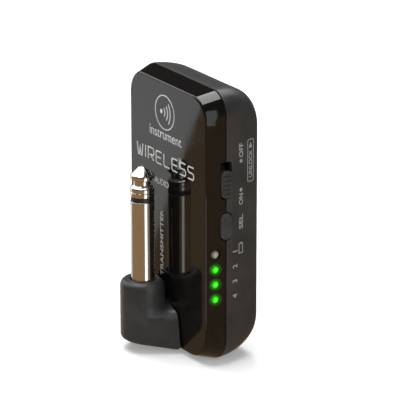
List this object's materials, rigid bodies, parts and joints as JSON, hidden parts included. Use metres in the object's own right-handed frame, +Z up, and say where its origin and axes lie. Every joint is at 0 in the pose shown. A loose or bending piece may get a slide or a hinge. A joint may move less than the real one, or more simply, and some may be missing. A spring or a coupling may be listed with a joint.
{
  "type": "wireless guitar transmitter",
  "caption": "Pocket radio transmitter for an electric guitar: gloss front, matte rear housing, side power slider, button, lamps and a swivelling quarter-inch jack plug.",
  "frame": {"origin": "middle of the footprint's bounding box, level with the lowest point of the housing as it stands upright", "axes": "+Z up along the housing's length, with the plug folded up; -Y is the gloss front face that carries the plug; +X is the side with the power slider, button and lamps"},
  "size_m": [0.0406, 0.0286, 0.0745],
  "materials": {
    "cover_gloss": "high-gloss moulded black plastic",
    "housing_matte": "fine-textured dark grey moulded plastic",
    "control_plastic": "satin dark grey plastic",
    "black_plastic": "black insulating plastic",
    "plug_nickel": "polished nickel plate",
    "steel": "plain pressed steel",
    "white_plastic": "white nylon",
    "lamp_clear": "unlit clear light pipe",
    "lamp_green": "light pipe lit green",
    "board": "solder-masked glass-epoxy board",
    "battery_foil": "silver pouch foil",
    "wire_red": "red wire insulation",
    "wire_black": "black wire insulation"
  },
  "bodies": {
    "housing": {"aerial": "white_plastic", "audio_chip": "black_plastic", "battery_cell": "battery_foil", "battery_lead_negative": "wire_black", "battery_lead_positive": "wire_red", "battery_socket": "white_plastic", "battery_tape": "white_plastic", "board_screw_1": "steel", "board_screw_2": "steel", "board_screw_3": "steel", "charger_chip": "black_plastic", "charging_port_shell": "steel", "charging_port_tongue": "black_plastic", "crystal": "steel", "friction_washer": "white_plastic", "front_cover": "cover_gloss", "lamp_chip_1": "white_plastic", "lamp_chip_2": "lamp_green", "lamp_chip_3": "lamp_green", "lamp_chip_4": "lamp_green", "light_pipe_1": "lamp_clear", "light_pipe_2": "lamp_green", "light_pipe_3": "lamp_green", "light_pipe_4": "lamp_green", "main_circuit_board": "board", "plug_lead_sleeve": "wire_black", "plug_lead_tip": "wire_red", "radio_shield": "steel", "rear_housing": "housing_matte", "slide_switch_body": "steel", "spring_washer": "steel", "tactile_switch": "steel"},
    "plug_swivel": {"plug_arm": "housing_matte", "plug_insulator": "black_plastic", "plug_sleeve": "plug_nickel", "plug_tip": "plug_nickel", "retaining_clip": "steel"},
    "power_slider": {"power_switch_knob": "control_plastic"},
    "select_key": {"select_button": "control_plastic", "switch_plunger": "black_plastic"}
  },
  "joints": [
    {"name": "plug_swivel_hinge", "type": "hinge", "parent": "housing", "child": "plug_swivel", "pos_m": [-0.0034, -0.00248, 0.0076], "axis": [0, -1, 0], "range_deg": [0, 220]},
    {"name": "power_switch_slide", "type": "slide", "parent": "housing", "child": "power_slider", "axis": [0, 0, 1], "range_m": [0, 0.0022]},
    {"name": "select_button_press", "type": "slide", "parent": "housing", "child": "select_key", "axis": [-1, 0, 0], "range_m": [0, 0.00035], "stiffness_N_per_m": 900, "springref_m": -0.0008}
  ]
}
